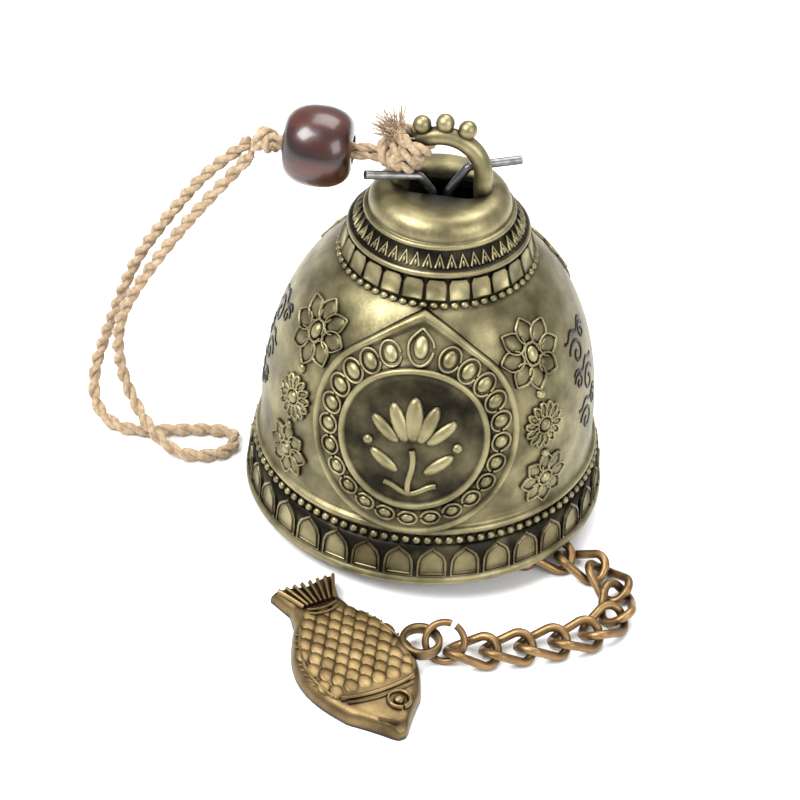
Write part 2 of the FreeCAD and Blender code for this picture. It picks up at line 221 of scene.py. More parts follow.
bell_brass = aged_metal_with_painted_shade("antique brass", (0.36, 0.315, 0.17), (0.17, 0.145, 0.072),
                        (0.012, 0.01, 0.007), True)
bronze = aged_metal_with_painted_shade("antique bronze", (0.3, 0.19, 0.085), (0.15, 0.09, 0.038),
                    (0.03, 0.018, 0.008), False, 1.0)
fish_bronze = aged_metal_with_painted_shade("fish bronze", (0.3, 0.21, 0.095), (0.15, 0.1, 0.042),
                         (0.018, 0.012, 0.007), True, 1.0)
steel = drawn_wire()
jute = jute_fibre()
wood = turned_wood()


# ---------------------------------------------------------------- mesh helpers

def relief_layer(bm):
    return bm.verts.layers.float.get("relief") or bm.verts.layers.float.new("relief")


def set_relief(bm, value, verts=None):
    layer = relief_layer(bm)
    for vert in verts or bm.verts:
        vert[layer] = value


def joined(target, source):
    """Adds one working mesh to another and frees it."""
    mesh = bpy.data.meshes.new("joining")
    source.to_mesh(mesh)
    source.free()
    target.from_mesh(mesh)
    bpy.data.meshes.remove(mesh)


def piece(name, bm, material, body, place=None, smooth=True, merge=0.0):
    """Finishes a working mesh in millimetres as an object in metres that rides on a body."""
    if merge:
        bmesh.ops.remove_doubles(bm, verts=bm.verts, dist=merge)
    if place is not None:
        bmesh.ops.transform(bm, matrix=place, verts=bm.verts)
    bmesh.ops.scale(bm, vec=(MM, MM, MM), verts=bm.verts)
    bmesh.ops.recalc_face_normals(bm, faces=bm.faces)
    mesh = bpy.data.meshes.new(name)
    bm.to_mesh(mesh)
    bm.free()
    made = bpy.data.objects.new(name, mesh)
    bpy.context.scene.collection.objects.link(made)
    made.data.materials.append(material)
    for face in mesh.polygons:
        face.use_smooth = smooth
    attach(made, body)
    return made


def wire_mesh(points, radius, closed=False, sides=2, ends=True):
    """A round bar along a run of points, made from a curve."""
    curve = bpy.data.curves.new("run", "CURVE")
    curve.dimensions = "3D"
    spline = curve.splines.new("POLY")
    spline.points.add(len(points) - 1)
    for point, place in zip(spline.points, points):
        point.co = (*place, 1)
    spline.use_cyclic_u = closed
    curve.bevel_depth = radius
    curve.bevel_resolution = sides
    curve.use_fill_caps = ends
    holder = bpy.data.objects.new("run", curve)
    mesh = bpy.data.meshes.new_from_object(holder)
    bm = bmesh.new()
    bm.from_mesh(mesh)
    bpy.data.objects.remove(holder)
    bpy.data.curves.remove(curve)
    bpy.data.meshes.remove(mesh)
    return bm


def lathe(outline, steps, close=False):
    """Spins an outline of (radius, height) about Z."""
    bm = bmesh.new()
    verts = [bm.verts.new((r, 0, z)) for r, z in outline]
    edges = [bm.edges.new(pair) for pair in zip(verts, verts[1:])]
    if close:
        edges.append(bm.edges.new((verts[-1], verts[0])))
    bmesh.ops.spin(bm, geom=verts + edges, cent=(0, 0, 0), axis=(0, 0, 1), angle=2 * math.pi,
                   steps=steps, use_merge=True)
    bmesh.ops.remove_doubles(bm, verts=bm.verts, dist=0.0005)
    return bm


def oval(width, length, height, detail=12, tone=1.0):
    """A low domed oval lying flat, centred on the origin."""
    bm = bmesh.new()
    bmesh.ops.create_uvsphere(bm, u_segments=detail, v_segments=max(6, detail // 2), radius=1.0)
    bmesh.ops.scale(bm, vec=(width / 2, length / 2, height), verts=bm.verts)
    set_relief(bm, tone)
    return bm


def flat_line(points, width, height, closed=False, tone=1.0):
    """A raised line of rounded section lying flat along points (x, y)."""
    bm = wire_mesh([(x, y, 0) for x, y in points], width / 2, closed, 1)
    bmesh.ops.scale(bm, vec=(1, 1, 2 * height / width), verts=bm.verts)
    set_relief(bm, tone)
    return bm


def placed(bm, x=0.0, y=0.0, turn=0.0, lift=0.0):
    bmesh.ops.rotate(bm, cent=(0, 0, 0), matrix=Matrix.Rotation(turn, 3, "Z"), verts=bm.verts)
    bmesh.ops.translate(bm, vec=(x, y, lift), verts=bm.verts)
    return bm


def loop_points(width, length, count, x=0.0, y=0.0, pinch=0.0):
    """Points round an oval; pinch draws its outer end to a point."""
    points = []
    for i in range(count):
        a = 2 * math.pi * i / count
        narrow = 1 - pinch * max(math.sin(a), 0) ** 2
        points.append((x + width / 2 * math.cos(a) * narrow, y + length / 2 * math.sin(a)))
    return points


# ---------------------------------------------------------------- the bell's surface

def dome_at(z):
    level = max(z - DOME_BASE, 0) / DOME_RISE
    return DOME_RADIUS * (1 - level ** DOME_ROUNDNESS) ** (1 / DOME_ROUNDNESS)


DOME_STEPS = [DOME_BASE - 2.0 + (DOME_TOP + 2.0 - DOME_BASE) * i / 300 for i in range(301)]
DOME_CLIMB = [-2.0]
for low, high in zip(DOME_STEPS, DOME_STEPS[1:]):
    DOME_CLIMB.append(DOME_CLIMB[-1] + math.hypot(high - low, dome_at(high) - dome_at(low)))


def on_dome(climb):
    """Radius, height and outward direction of the dome a given distance up its side."""
    low = 0
    high = len(DOME_CLIMB) - 1
    while high - low > 1:
        middle = (low + high) // 2
        if DOME_CLIMB[middle] > climb:
            high = middle
        else:
            low = middle
    part = (climb - DOME_CLIMB[low]) / (DOME_CLIMB[high] - DOME_CLIMB[low])
    z = DOME_STEPS[low] + (DOME_STEPS[high] - DOME_STEPS[low]) * part
    slope = (dome_at(z + 0.05) - dome_at(z - 0.05)) / 0.1
    size = math.hypot(1, slope)
    return dome_at(z), z, 1 / size, -slope / size


def on_band(r0, z0, r1, z1):
    """The same for a plain sloping band between two heights."""
    length = math.hypot(r1 - r0, z1 - z0)
    def band(climb):
        part = climb / length
        return r0 + (r1 - r0) * part, z0 + (z1 - z0) * part, (z1 - z0) / length, (r0 - r1) / length
    return band


def wrapped(bm, surface, azimuth):
    """Wraps a flat working mesh (x across, y up the side, z outward) round the bell."""
    for vert in bm.verts:
        x, y, lift = vert.co
        r, z, out_r, out_z = surface(y)
        angle = azimuth + x / r
        reach = r + out_r * lift
        vert.co = (reach * math.cos(angle), reach * math.sin(angle), z + out_z * lift)
    return bm


def repeated(target, make, surface, count, first=0.0):
    for i in range(count):
        joined(target, wrapped(make(), surface, first + 2 * math.pi * i / count))


# ---------------------------------------------------------------- bell shell

def arc_points(radius, centre_r, centre_z, first, last, count):
    points = []
    for i in range(count + 1):
        a = math.radians(first + (last - first) * i / count)
        points.append((centre_r + radius * math.cos(a), centre_z + radius * math.sin(a)))
    return points


def bell_shell():
    outside = [(RIM_RADIUS - 0.25, 0), (RIM_RADIUS, 0.2), (RIM_RADIUS, 0.7), (RIM_RADIUS - 0.3, 1.0),
               (24.5, 1.25), (24.25, 3.4), (23.95, 5.9), (23.6, 6.0), (23.3, 6.15), (23.3, 7.5)]
    outside += arc_points(0.62, 23.15, 8.15, -80, 80, 8)
    outside += [(dome_at(9.1), 9.1)]
    dome_heights = [DOME_BASE + (DOME_TOP - 0.3 - DOME_BASE) * i / 44 for i in range(45)]
    outside += [(dome_at(z), z) for z in dome_heights]
    outside += [(12.75, 37.8), (12.75, 38.4), (11.8, 41.2)]
    outside += arc_points(0.48, 11.75, 41.8, -80, 80, 6)
    outside += [(11.3, 42.4), (9.9, 44.2)]
    outside += arc_points(0.4, 9.75, 44.65, -70, 80, 6)
    outside += arc_points(2.5, 7.0, 45.35, -8, 80, 12)
    outside += [(6.6, CAP_TOP), (0.0, CAP_TOP)]
    inside = [(0.0, CAP_TOP - WALL), (6.2, CAP_TOP - WALL), (7.4, 45.5), (7.9, 44.3), (9.6, 41.0),
              (10.3, 38.6)]
    for i in range(22):
        z = 36.9 - (36.9 - DOME_BASE) * i / 21
        level = (z - DOME_BASE) / (DOME_RISE - WALL)
        inside.append(((DOME_RADIUS - WALL) * (1 - level ** DOME_ROUNDNESS) ** (1 / DOME_ROUNDNESS), z))
    inside += [(21.7, 8.2), (RIM_RADIUS - 1.8, 0.2), (RIM_RADIUS - 1.6, 0)]
    bm = lathe(outside + inside, 240, close=True)
    set_relief(bm, 0.3)
    layer = relief_layer(bm)
    for vert in bm.verts:
        z = vert.co.z
        r = math.hypot(vert.co.x, vert.co.y)
        if 1.0 < z < 7.55 or 37.6 < z < 41.3 or 42.2 < z < 44.3:
            vert[layer] = 0.0
        elif z > 44.4 or 41.3 <= z <= 42.2 or 7.55 <= z <= 8.9 or z <= 1.0:
            vert[layer] = 0.85
        elif 9.0 < z < 37.3 and r > dome_at(z) - 0.2:
            vert[layer] = 0.62
    return bm


def slot_knife():
    flat = SLOT_HALF_LENGTH - SLOT_HALF_WIDTH
    bm = bmesh.new()
    bmesh.ops.create_circle(bm, cap_ends=True, segments=32, radius=SLOT_HALF_WIDTH)
    for vert in bm.verts:
        vert.co.x += flat if vert.co.x > 0 else -flat
    grown = bmesh.ops.extrude_face_region(bm, geom=list(bm.faces))
    bmesh.ops.translate(bm, vec=(0, 0, 6),
                        verts=[e for e in grown["geom"] if isinstance(e, bmesh.types.BMVert)])
    bmesh.ops.translate(bm, vec=(0, 0, CAP_TOP - 3), verts=bm.verts)
    bmesh.ops.recalc_face_normals(bm, faces=bm.faces)
    return bm


def with_slot(bm):
    """Cuts the long slot through the cap."""
    parts = []
    for working in (bm, slot_knife()):
        bmesh.ops.recalc_face_normals(working, faces=working.faces)
        mesh = bpy.data.meshes.new("cutting")
        working.to_mesh(mesh)
        working.free()
        holder = bpy.data.objects.new("cutting", mesh)
        bpy.context.scene.collection.objects.link(holder)
        parts.append(holder)
    cut = parts[0].modifiers.new("slot", "BOOLEAN")
    cut.operation = "DIFFERENCE"
    cut.object = parts[1]
    cut.solver = "EXACT"
    seen = parts[0].evaluated_get(bpy.context.evaluated_depsgraph_get())
    result = bmesh.new()
    result.from_mesh(bpy.data.meshes.new_from_object(seen))
    for holder in parts:
        bpy.data.objects.remove(holder)
    return result


def handle_mesh():
    points = [(-ARCH_RADIUS - 0.15, 0, CAP_TOP - 1.0), (-ARCH_RADIUS, 0, CAP_TOP + 1.0)]
    for i in range(33):
        a = math.pi - math.pi * i / 32
        points.append((ARCH_RADIUS * math.cos(a), 0, ARCH_CENTRE + ARCH_RADIUS * math.sin(a)))
    points += [(ARCH_RADIUS, 0, CAP_TOP + 1.0), (ARCH_RADIUS + 0.15, 0, CAP_TOP - 1.0)]
    bm = wire_mesh(points, ARCH_BAR, sides=6)
    set_relief(bm, 0.8)
    reach = ARCH_RADIUS + 1.95
    for step in (-24, 0, 24):
        a = math.radians(90 + step)
        ball = oval(2.5, 2.5, 1.25, 24, 0.95)
        centre = (reach * math.cos(a), 0, ARCH_CENTRE + reach * math.sin(a))
        bmesh.ops.translate(ball, vec=centre, verts=ball.verts)
        joined(bm, ball)
    return bm


# ---------------------------------------------------------------- ornaments

def skirt_petal():
    """One pointed petal of the skirt: raised border, sunk step and raised inner panel."""
    half = [(-1.95, 0.0), (-1.98, 1.3), (-1.9, 2.5), (-1.55, 3.4), (-0.85, 4.1), (-0.25, 4.55)]
    outline = half + [(0.0, 4.85)] + [(-x, y) for x, y in reversed(half)]
    bm = bmesh.new()
    face = bm.faces.new([bm.verts.new((x, y, 0)) for x, y in outline])
    set_relief(bm, 0.35)
    layer = relief_layer(bm)
    grown = bmesh.ops.extrude_face_region(bm, geom=[face])
    top = [e for e in grown["geom"] if isinstance(e, bmesh.types.BMFace)]
    verts = [e for e in grown["geom"] if isinstance(e, bmesh.types.BMVert)]
    bmesh.ops.translate(bm, vec=(0, 0, 0.38), verts=verts)
    for vert in verts:
        vert[layer] = 1.0
    for thickness, depth, tone in ((0.3, 0.04, 1.0), (0.08, -0.2, 0.0), (0.06, 0.0, 0.0), (0.07, 0.24, 0.9),
                                   (0.12, 0.1, 1.0)):
        bmesh.ops.inset_region(bm, faces=top, thickness=thickness, depth=depth)
        for vert in top[0].verts:
            vert[layer] = tone
    return bm


def pearl():
    bm = bmesh.new()
    bmesh.ops.create_icosphere(bm, subdivisions=2, radius=0.6)
    set_relief(bm, 1.0)
    return placed(bm, 0, 0.65, 0, 0.2)


def collar_bead():
    return placed(oval(1.28, 1.1, 0.62, 10), 0, 0.3, 0, 0.15)


def collar_tab():
    """A rounded block with a flat face."""
    half = 1.28
    outline = [(-half, 0.1), (-half, 2.2), (-half * 0.72, 2.8), (half * 0.72, 2.8), (half, 2.2), (half, 0.1)]
    bm = bmesh.new()
    face = bm.faces.new([bm.verts.new((x, y, -0.05)) for x, y in outline])
    grown = bmesh.ops.extrude_face_region(bm, geom=[face])
    top = [e for e in grown["geom"] if isinstance(e, bmesh.types.BMFace)]
    verts = [e for e in grown["geom"] if isinstance(e, bmesh.types.BMVert)]
    bmesh.ops.translate(bm, vec=(0, 0, 0.5), verts=verts)
    bmesh.ops.inset_region(bm, faces=top, thickness=0.16, depth=0.16)
    set_relief(bm, 0.9)
    return bm


def collar_leaf():
    bm = flat_line([(-0.55, 0.1), (0, 1.85), (0.55, 0.1)], 0.42, 0.34)
    joined(bm, placed(oval(0.5, 1.1, 0.4, 8, 0.9), 0, 0.6))
    return bm


MEDALLION_CLIMB = 12.2
MEDALLION_RADIUS = 14.1
MEDALLION_TIP = 3.4


def ogee(x, y):
    """Draws the top of a round outline up into a point."""
    r = math.hypot(x, y)
    if r < 10.2:
        return x, y
    away = abs(math.degrees(math.atan2(x, y)))
    if away > 38:
        return x, y
    push = MEDALLION_TIP * (1 - away / 38) ** 2 * (r - 10.2) / (MEDALLION_RADIUS - 10.2)
    return x * (1 + push / r), y * (1 + push / r)


def medallion_plate():
    ring = [(0.0, 0.22), (3.0, 0.22), (6.0, 0.22), (8.4, 0.22), (9.3, 0.22), (9.45, 0.75), (9.75, 0.85),
            (10.05, 0.75), (10.2, 0.35), (11.0, 0.32), (12.0, 0.32), (13.0, 0.32), (13.4, 0.35), (13.55, 0.8),
            (13.85, 0.92), (14.15, 0.8), (14.3, 0.35), (14.55, -0.1)]
    bm = lathe(ring, 128)
    layer = relief_layer(bm)
    for vert in bm.verts:
        r = math.hypot(vert.co.x, vert.co.y)
        height = vert.co.z
        if r < 9.35:
            vert[layer] = 0.16
        elif height > 0.6:
            vert[layer] = 1.0
        else:
            vert[layer] = 0.5 if 10.3 < r < 13.45 else 0.1
        x, y = ogee(vert.co.x, vert.co.y)
        vert.co.x = x
        vert.co.y = y + MEDALLION_CLIMB
    return bm


def cabochon(width, length):
    """A boss in a raised ring with a dark groove between."""
    bm = flat_line(loop_points(width, length, 20), 0.42, 0.34)
    joined(bm, oval(width - 0.75, length - 0.75, 0.5, 12, 0.95))
    return placed(bm, lift=0.36)


def bud_emblem():
    """A plain lotus bud on a stem with two leaves, in place of any mark."""
    bm = bmesh.new()
    def leaf(width, length, x, y, turn):
        joined(bm, placed(oval(width, length, 0.62, 14), x, y, turn, 0.2))
    leaf(2.6, 6.6, 0.0, 3.2, 0.0)
    for side in (-1, 1):
        leaf(2.2, 6.0, side * 1.9, 2.6, -side * 0.38)
        leaf(1.9, 5.2, side * 3.7, 1.5, -side * 0.85)
        leaf(1.8, 5.0, side * 3.6, -3.1, side * 2.2)
        joined(bm, placed(oval(1.5, 1.5, 0.6, 12), side * 5.9, -0.6, 0, 0.2))
    stem = [(0.25 * math.sin(i * 0.5), -1.0 - 0.6 * i) for i in range(12)]
    joined(bm, placed(flat_line(stem, 1.0, 0.5), lift=0.25))
    base = [(-3.4 + 6.8 * i / 14, -7.0 - 0.7 * math.cos(math.pi * (i - 7) / 7)) for i in range(15)]
    joined(bm, placed(flat_line(base, 0.9, 0.5), lift=0.25))
    return placed(bm, 0, MEDALLION_CLIMB)


def medallion():
    bm = medallion_plate()
    count = 23
    first = math.radians(18.5)
    for i in range(count):
        a = first + (2 * math.pi - 2 * first) * i / (count - 1)
        low = (1 - math.cos(a)) / 2
        width = 2.8 - 0.25 * low
        length = 3.3 - 1.2 * low
        x, y = ogee(11.75 * math.sin(a), 11.75 * math.cos(a))
        joined(bm, placed(cabochon(width, length), x, y + MEDALLION_CLIMB, -a))
    drop = flat_line(loop_points(3.3, 4.8, 28, pinch=0.75), 0.5, 0.42)
    joined(drop, oval(2.1, 3.2, 0.7, 16, 1.0))
    joined(bm, placed(drop, 0, MEDALLION_CLIMB + 12.9, 0, 0.36))
    joined(bm, bud_emblem())
    return bm


def bloom(size, petals, centre_width, centre_length, petal_pinch=0.5):
    """A flower seen from above: outlined petals round a domed centre."""
    bm = bmesh.new()
    reach = size / 2
    core = max(centre_width, centre_length) / 2
    length = reach - core + 0.35
    width = 2 * math.pi * (core + length * 0.55) / petals * 1.02
    for i in range(petals):
        a = 2 * math.pi * i / petals
        middle = core + length / 2 - 0.15
        one = flat_line(loop_points(width, length, 16, pinch=petal_pinch), 0.34, 0.42)
        joined(one, oval(width * 0.86, length * 0.86, 0.26, 10, 0.62))
        joined(bm, placed(one, -middle * math.sin(a), middle * math.cos(a), a, 0.1))
    joined(bm, placed(flat_line(loop_points(centre_width, centre_length, 18), 0.36, 0.42), lift=0.12))
    joined(bm, placed(oval(centre_width - 0.6, centre_length - 0.6, 0.7, 14, 1.0), lift=0.1))
    return bm


def flower_column():
    bm = placed(bloom(9.6, 8, 2.4, 3.1, 0.75), 0, 22.0)
    joined(bm, placed(oval(1.5, 1.7, 0.6, 8, 1.0), 0, 16.3, 0.7))
    joined(bm, placed(bloom(6.0, 14, 2.5, 2.5, 0.2), 0, 11.8))
    joined(bm, placed(oval(1.4, 1.6, 0.6, 8, 1.0), 0, 7.3, 0.7))
    joined(bm, placed(bloom(7.6, 8, 2.4, 2.4, 0.8), 0, 3.4))
    return bm


def curl(x, y, size, side):
    points = []
    for i in range(26):
        a = side * (0.3 + i * 0.3)
        r = size * (1 - i / 30)
        points.append((x + side * r * math.cos(a), y + r * math.sin(a) * side))
    return points


def cloud_scroll():
    """Plain curling cloud bands, in place of any writing on the sides."""
    bm = bmesh.new()
    for level in range(3):
        y = 6.5 + 5.4 * level
        side = 1 if level % 2 else -1
        joined(bm, flat_line(curl(side * 1.0, y, 2.1, side), 0.6, 0.12, tone=-0.4))
        joined(bm, flat_line(curl(-side * 2.3, y + 1.5, 1.3, -side), 0.5, 0.12, tone=-0.4))
        band = [(side * (-3.4 + 0.45 * i), y + 2.9 + 0.45 * math.sin(i * 0.8)) for i in range(16)]
        joined(bm, flat_line(band, 0.55, 0.12, tone=-0.4))
    return bm


def build_bell():
    shell = with_slot(bell_shell())
    joined(shell, handle_mesh())
    body = piece("bell_shell", shell, bell_brass, "bell", LEAN)
    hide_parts("bell_casting")

    skirt = bmesh.new()
    repeated(skirt, skirt_petal, on_band(24.35, 1.3, 23.95, 6.0), 34, math.radians(-90))
    piece("skirt_petals", skirt, bell_brass, "bell", LEAN, smooth=False)

    pearls = bmesh.new()
    repeated(pearls, pearl, on_band(23.3, 6.2, 23.3, 7.5), 102)
    repeated(pearls, collar_bead, on_band(12.75, 37.5, 12.75, 38.3), 60)
    piece("pearl_rows", pearls, bell_brass, "bell", LEAN)

    collar = bmesh.new()
    repeated(collar, collar_tab, on_band(12.7, 38.4, 11.8, 41.2), 26)
    repeated(collar, collar_leaf, on_band(11.3, 42.4, 9.9, 44.2), 44)
    piece("collar_bands", collar, bell_brass, "bell", LEAN)

    for name, middle in (("front", -88.2), ("back", 90.0)):
        disc = wrapped(medallion(), on_dome, math.radians(middle))
        piece("medallion_" + name, disc, bell_brass, "bell", LEAN)
    flowers = bmesh.new()
    for middle in (-137.0, -39.5, 42.0, 138.0):
        joined(flowers, wrapped(flower_column(), on_dome, math.radians(middle)))
    piece("flower_columns", flowers, bell_brass, "bell", LEAN)
    scrolls = bmesh.new()
    for middle in (-168.0, -10.0):
        joined(scrolls, wrapped(cloud_scroll(), on_dome, math.radians(middle)))
    piece("cloud_scrolls", scrolls, bell_brass, "bell", LEAN)


# ---------------------------------------------------------------- fish

EYELET = Vector(JOINTS["fish_turn"]["pos_m"]) / MM
FISH_HEADING = math.radians(-53.0)
EYELET_ALONG = 16.6
EYELET_OUT = 9.4
FISH_TOP = 3.1
SCALE_PITCH = 2.05
SCALE_TILT = Matrix.Rotation(math.radians(8), 3, "X")


def fish_place():
    under_eyelet = Vector((EYELET.x, EYELET.y, 0))
    turn = Matrix.Rotation(FISH_HEADING, 4, "Z")
    return Matrix.Translation(under_eyelet) @ turn @ Matrix.Translation((-EYELET_ALONG, -EYELET_OUT, 0))


def fish_half_width(s):
    """Half the fish's width a distance s from the tail: a fan, a waist, then a rounded body."""
    fan = 2.1 * max(0.0, 1 - s / 6.5) ** 0.8
    waist = 2.8
    body = min(max((s - 4.2) / 24.9, 0.0), 1.0)
    swell = 5.4 * math.sin(math.pi * body ** 0.95) ** 1.15
    nose = max(0.0, min(1.0, (29.45 - s) / 5.0)) ** 0.5
    return 0.25 + (fan + waist + swell - 0.3) * nose


def fish_height(s, across):
    """Height of the fish's back at a distance from the tail and a part of its half-width."""
    crown = 2.3 + 0.55 * math.sin(math.pi * min(max((s - 4.0) / 25.0, 0.0), 1.0))
    edge = max(1 - abs(across) ** 5, 0.0) ** 0.5
    nose = min(1.0, (29.6 - s) / 1.6) ** 0.5
    tail = min(1.0, (s + 0.5) / 1.2) ** 0.5
    return 0.7 + (crown - 0.7) * edge * nose * tail


def fish_blank():
    bm = bmesh.new()
    bmesh.ops.create_grid(bm, x_segments=72, y_segments=28, size=1.0)
    layer = relief_layer(bm)
    for vert in bm.verts:
        along = (vert.co.x + 1) / 2
        across = math.copysign(1 - (1 - abs(vert.co.y)) ** 1.5, vert.co.y)
        s = 0.5 + 28.9 * along
        fork = 1.3 * (1 - abs(across)) * max(0.0, 1 - s / 5.0)
        vert.co = (s + fork, across * fish_half_width(s), 0.1)
        vert[layer] = across
    grown = bmesh.ops.extrude_face_region(bm, geom=list(bm.faces))
    for vert in [e for e in grown["geom"] if isinstance(e, bmesh.types.BMVert)]:
        vert.co.z = fish_height(vert.co.x, vert[layer])
    set_relief(bm, 0.62)
    return bm


def fish_scales():
    bm = bmesh.new()
    row = 0
    s = 20.6
    while s > 7.0:
        half = fish_half_width(s) - 1.5
        shift = 0.0 if row % 2 else 0.5
        count = int(half / SCALE_PITCH) + 1
        for i in range(-count, count + 1):
            v = (i + shift) * SCALE_PITCH
            if abs(v) > half:
                continue
            one = oval(2.15, 2.7, 0.3, 14, 0.95)
            bmesh.ops.rotate(one, cent=(0, 0, 0), matrix=SCALE_TILT, verts=one.verts)
            joined(bm, placed(one, s, v, math.radians(90), fish_height(s, v / fish_half_width(s)) - 0.08))
        s -= 1.5
        row += 1
    return bm


def fish_face():
    bm = bmesh.new()
    lift = FISH_TOP - 0.42
    joined(bm, placed(flat_line(loop_points(2.9, 2.9, 24), 0.5, 0.5), 25.0, 1.6, 0, lift))
    joined(bm, placed(oval(1.6, 1.6, 0.55, 14), 25.0, 1.6, 0, lift))
    sweep = [math.radians(-62 + 6.2 * i) for i in range(21)]
    gill = [(21.2 + 1.5 * math.cos(a), 6.0 * math.sin(a)) for a in sweep]
    joined(bm, placed(flat_line(gill, 0.7, 0.5), 0, 0, 0, lift))
    inner = [(x + 0.95, y * 0.9) for x, y in gill]
    joined(bm, placed(flat_line(inner, 0.4, 0.32, tone=0.6), 0, 0, 0, lift))
    mouth = [(28.6 - 0.35 * i, -0.3 - 0.42 * i) for i in range(6)]
    joined(bm, placed(flat_line(mouth, 0.4, 0.3, tone=0.2), 0, 0, 0, lift - 0.05))
    return bm


def fish_fins():
    bm = bmesh.new()
    for side in (-1, 1):
        edge = [(s, side * (fish_half_width(s) - 1.15)) for s in [8.5 + 0.6 * i for i in range(22)]]
        joined(bm, placed(flat_line(edge, 0.4, 0.4), 0, 0, 0, FISH_TOP - 0.75))
        for i in range(12):
            s = 9.4 + i
            v = fish_half_width(s)
            ray = [(s, side * (v - 1.1)), (s - 0.4, side * (v - 0.6))]
            joined(bm, placed(flat_line(ray, 0.3, 0.22), 0, 0, 0, FISH_TOP - 0.95))
    for i in range(8):
        v = -4.1 + i * 8.2 / 7
        ray = [(1.2, v), (3.3, v * 0.75), (5.2, v * 0.55)]
        joined(bm, placed(flat_line(ray, 0.55, 0.42), 0, 0, 0, FISH_TOP - 0.5))
    for s in (5.9, 6.7):
        arc = [(s + 0.5 * math.cos(a * 1.4), 2.4 * math.sin(a)) for a in [-1.1 + 0.22 * i for i in range(11)]]
        joined(bm, placed(flat_line(arc, 0.4, 0.42), 0, 0, 0, FISH_TOP - 0.45))
    return bm


def fish_eyelet():
    outline = [(2.0, 0.3), (2.15, 0.0), (2.75, 0.0), (2.9, 0.3),
               (2.9, 1.2), (2.75, 1.5), (2.15, 1.5), (2.0, 1.2)]
    bm = lathe(outline, 48, close=True)
    set_relief(bm, 0.8)
    bmesh.ops.translate(bm, vec=(EYELET_ALONG, EYELET_OUT, 1.6), verts=bm.verts)
    foot = oval(4.6, 3.0, 0.7, 16, 0.6)
    joined(bm, placed(foot, EYELET_ALONG, EYELET_OUT - 2.9, 0, 2.2))
    return bm


def build_fish():
    place = fish_place()
    blank = fish_blank()
    joined(blank, fish_eyelet())
    body = piece("fish_body", blank, fish_bronze, "fish", place)
    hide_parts("fish_pendant")
    details = fish_scales()
    joined(details, fish_face())
    joined(details, fish_fins())
    piece("fish_relief", details, fish_bronze, "fish", place)


# ---------------------------------------------------------------- cord

CORD = 1.85
LOOP_ROUTE = [
    (-0.0287, 0.0026, 0.0510), (-0.0336, 0.0029, 0.0456), (-0.0374, 0.0031, 0.0392),
    (-0.0410, 0.0033, 0.0324), (-0.0439, 0.0035, 0.0260), (-0.0456, 0.0036, 0.0190),
    (-0.0474, 0.0036, 0.0122), (-0.0486, 0.0030, 0.0060), (-0.0476, 0.0006, 0.0020),
    (-0.0442, -0.0019, 0.00098), (-0.0400, -0.0017, 0.00098),
    (-0.0356, -0.0002, 0.00098), (-0.0312, 0.0012, 0.00098), (-0.0272, 0.0015, 0.00098),
    (-0.0270, -0.0023, 0.00098), (-0.0306, -0.0048, 0.00098), (-0.0349, -0.0053, 0.0013),
    (-0.0387, -0.0032, 0.0027), (-0.0416, -0.0004, 0.0045), (-0.0439, 0.0009, 0.0082),
    (-0.0450, 0.0010, 0.0136), (-0.0446, 0.0009, 0.0192), (-0.0424, 0.0008, 0.0250),
    (-0.0397, 0.0009, 0.0306), (-0.0366, 0.0010, 0.0364), (-0.0331, 0.0012, 0.0422),
    (-0.0301, 0.0015, 0.0468), (-0.0281, 0.0017, 0.0500),
]


def route_line(route):
    """The smooth centreline that a route's points pull into shape."""
    curve = bpy.data.curves.new("route", "CURVE")
    curve.dimensions = "3D"
    curve.resolution_u = 14
    spline = curve.splines.new("NURBS")
    spline.points.add(len(route) - 1)
    for point, place in zip(spline.points, route):
        point.co = (*place, 1)
    spline.order_u = 3
    spline.use_endpoint_u = True
    holder = bpy.data.objects.new("route", curve)
    mesh = bpy.data.meshes.new_from_object(holder)
    line = [vert.co.copy() for vert in mesh.vertices]
    bpy.data.objects.remove(holder)
    bpy.data.curves.remove(curve)
    bpy.data.meshes.remove(mesh)
    return line


def even_line(line, step, closed=False):
    """The same line with points an even step apart."""
    points = list(line) + ([line[0]] if closed else [])
    even = [points[0].copy()]
    left = step
    for start, end in zip(points, points[1:]):
        run = (end - start).length
        along = left
        while along <= run:
            even.append(start.lerp(end, along / run))
            along += step
        left = along - run
    if closed and (even[-1] - even[0]).length < step * 0.5:
        even.pop()
    return even


def strands(line, cord, closed=False, lay=5.2, turn=0.0, step=0.45):
    """Two plies twisted round a centreline, all in millimetres."""
    centre = even_line(line, step, closed)
    count = len(centre)
    side = None
    runs = [[], []]
    turns = max(1, round(count * step / lay)) if closed else count * step / lay
    for i, point in enumerate(centre):
        after = centre[(i + 1) % count] if closed else centre[min(i + 1, count - 1)]
        before = centre[i - 1] if (closed or i > 0) else centre[0]
        along = (after - before).normalized()
        if side is None:
            side = along.orthogonal().normalized()
        side = (side - along * side.dot(along)).normalized()
        other = along.cross(side)
        a = turn + 2 * math.pi * turns * i / count
        for k in (0, 1):
            angle = a + math.pi * k
            offset = side * math.cos(angle) + other * math.sin(angle)
            runs[k].append(point + offset * cord * 0.235)
    bm = wire_mesh(runs[0], cord * 0.265, closed, 3)
    joined(bm, wire_mesh(runs[1], cord * 0.265, closed, 3))
    return bm


